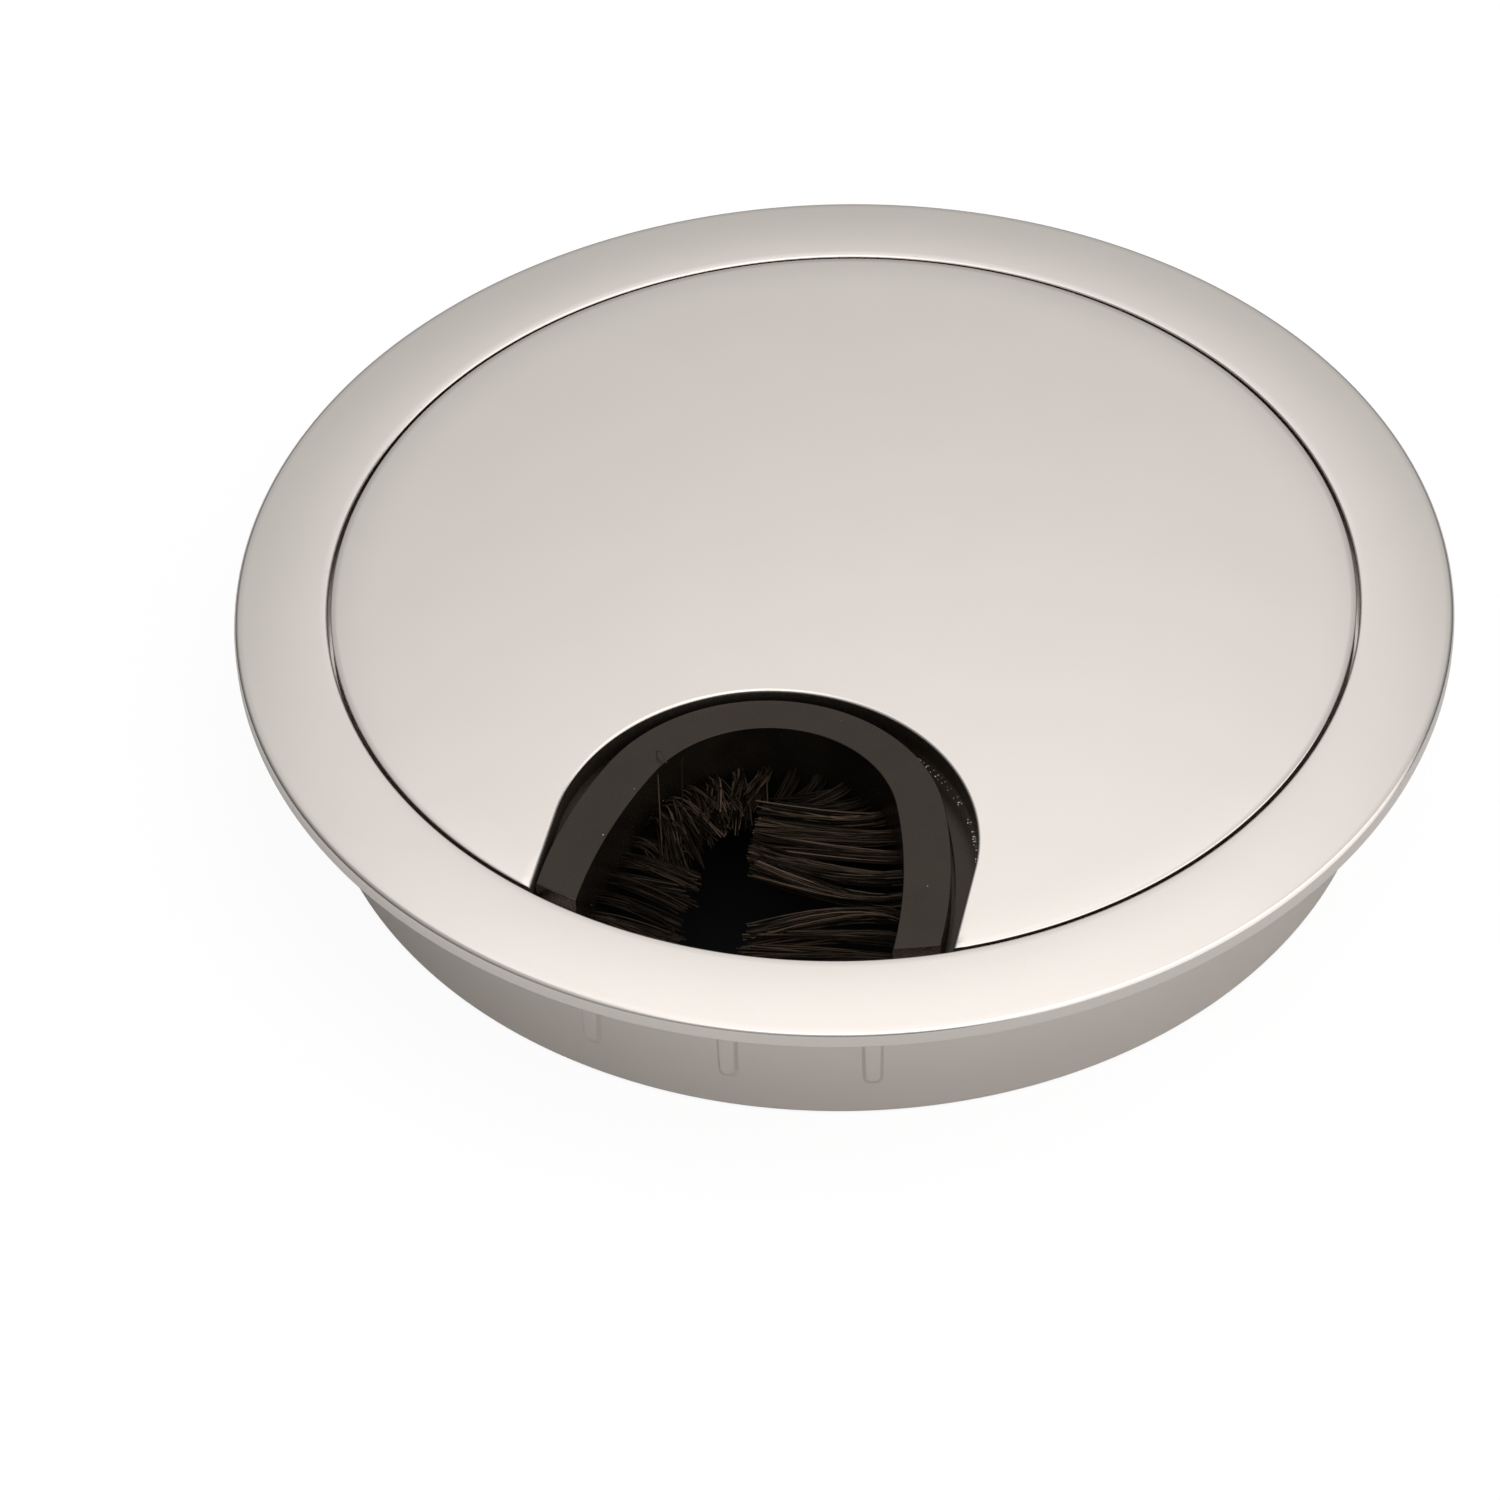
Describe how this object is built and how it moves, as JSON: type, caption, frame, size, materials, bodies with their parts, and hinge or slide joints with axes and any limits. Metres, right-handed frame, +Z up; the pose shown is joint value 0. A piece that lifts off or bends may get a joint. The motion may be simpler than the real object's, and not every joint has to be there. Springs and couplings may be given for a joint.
{
  "type": "brush cable grommet",
  "caption": "Round satin metal desk grommet with a flanged tube, a flat lid and a U-shaped brush outlet that lets cables through and closes round them.",
  "frame": {"origin": "on the tube's axis at the level of its foot, which is the lowest point of the part", "axes": "+Z up along the tube's axis out of the desk, -Y towards the open side of the brush outlet, +X to the right seen from the outlet's side"},
  "size_m": [0.09, 0.09, 0.0139],
  "materials": {
    "satin_nickel": "satin nickel plating on cast zinc, warm grey, very fine grain",
    "black_plastic": "moulded, matt, slightly soft edges",
    "bristle": "fine dark brown-black nylon bristles"
  },
  "bodies": {
    "root": {"base_ring": "satin_nickel", "lid": "satin_nickel", "brush_holder": "black_plastic", "bristle_tuft_01": "bristle", "bristle_tuft_02": "bristle", "bristle_tuft_03": "bristle", "bristle_tuft_04": "bristle", "bristle_tuft_05": "bristle", "bristle_tuft_06": "bristle", "bristle_tuft_07": "bristle", "bristle_tuft_08": "bristle", "bristle_tuft_09": "bristle", "bristle_tuft_10": "bristle", "bristle_tuft_11": "bristle", "bristle_tuft_12": "bristle", "bristle_tuft_13": "bristle", "bristle_tuft_14": "bristle", "bristle_tuft_15": "bristle", "bristle_tuft_16": "bristle", "bristle_tuft_17": "bristle", "bristle_tuft_18": "bristle", "bristle_tuft_19": "bristle", "bristle_tuft_20": "bristle", "bristle_tuft_21": "bristle", "bristle_tuft_22": "bristle", "bristle_tuft_23": "bristle"}
  },
  "joints": []
}
